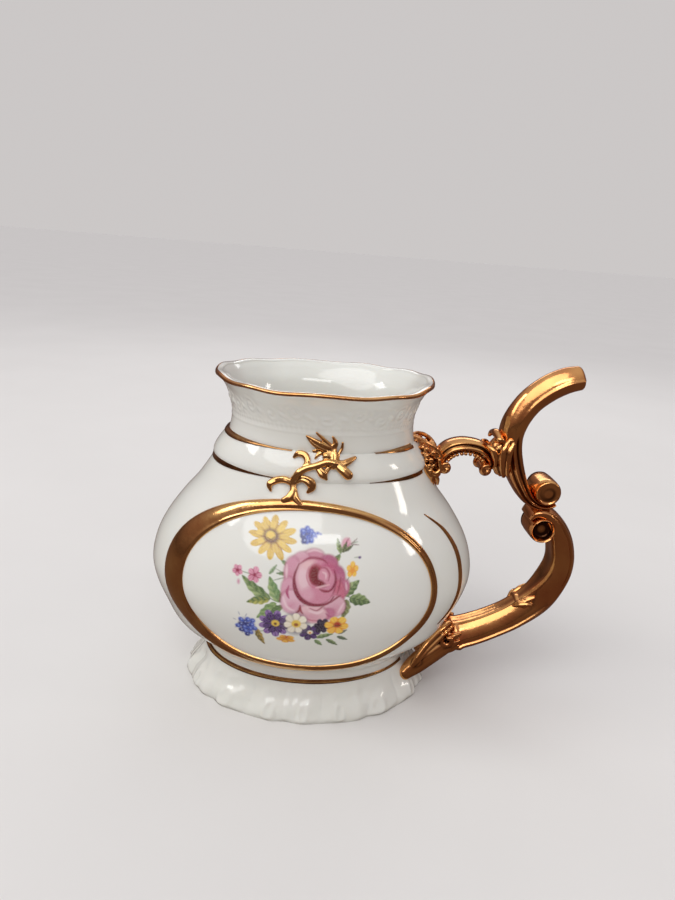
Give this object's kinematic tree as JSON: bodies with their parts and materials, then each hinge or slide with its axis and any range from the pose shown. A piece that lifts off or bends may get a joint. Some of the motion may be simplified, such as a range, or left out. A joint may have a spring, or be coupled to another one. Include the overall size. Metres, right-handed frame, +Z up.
{
  "type": "porcelain cream jug",
  "caption": "Oval porcelain cream jug with a scalloped foot, gilt-framed floral medallions, a flared neck with a pouring lip, and a scrolled gilt handle with a free thumb rest.",
  "frame": {"origin": "on the surface the jug stands on, under the middle of its overall box", "axes": "+X from the pouring lip towards the handle, +Y across the jug, +Z up; the jug's own upright axis stands 23.1 mm from the origin towards -X"},
  "size_m": [0.18, 0.1052, 0.1453],
  "materials": {
    "glazed_porcelain": "clear glossy glaze over white porcelain",
    "gilt_handle": "burnished bright gold over glazed porcelain",
    "gilt_relief": "burnished bright gold over moulded porcelain relief",
    "gold_line": "brushed line of fired bright gold",
    "bouquet_transfer": "multicoloured floral transfer print under a clear gloss"
  },
  "bodies": {
    "root": {"bowl": "glazed_porcelain", "shoulder_band": "glazed_porcelain", "neck": "glazed_porcelain", "foot_ring": "glazed_porcelain", "front_medallion": "glazed_porcelain", "rear_medallion": "glazed_porcelain", "front_medallion_frame": "gilt_relief", "rear_medallion_frame": "gilt_relief", "front_bouquet": "bouquet_transfer", "rear_bouquet": "bouquet_transfer", "front_sprig": "gilt_relief", "rear_sprig": "gilt_relief", "front_side_arc": "gold_line", "rear_side_arc": "gold_line", "rim_gilding": "gold_line", "upper_line_lip_side": "gold_line", "lower_line_lip_side": "gold_line", "front_upper_line": "gold_line", "front_lower_line": "gold_line", "rear_upper_line": "gold_line", "rear_lower_line": "gold_line", "foot_line": "gold_line", "handle_stem": "gilt_handle", "handle_stem_volute": "gilt_handle", "handle_lower_scroll": "gilt_handle", "handle_lower_volute": "gilt_handle", "handle_leaf_curl": "gilt_handle", "handle_foot_leaf": "gilt_handle", "handle_arm": "gilt_handle", "handle_arm_inner_volute": "gilt_handle", "handle_arm_outer_volute": "gilt_handle", "handle_collar": "gilt_handle", "handle_top_plate": "gilt_handle"}
  },
  "joints": []
}
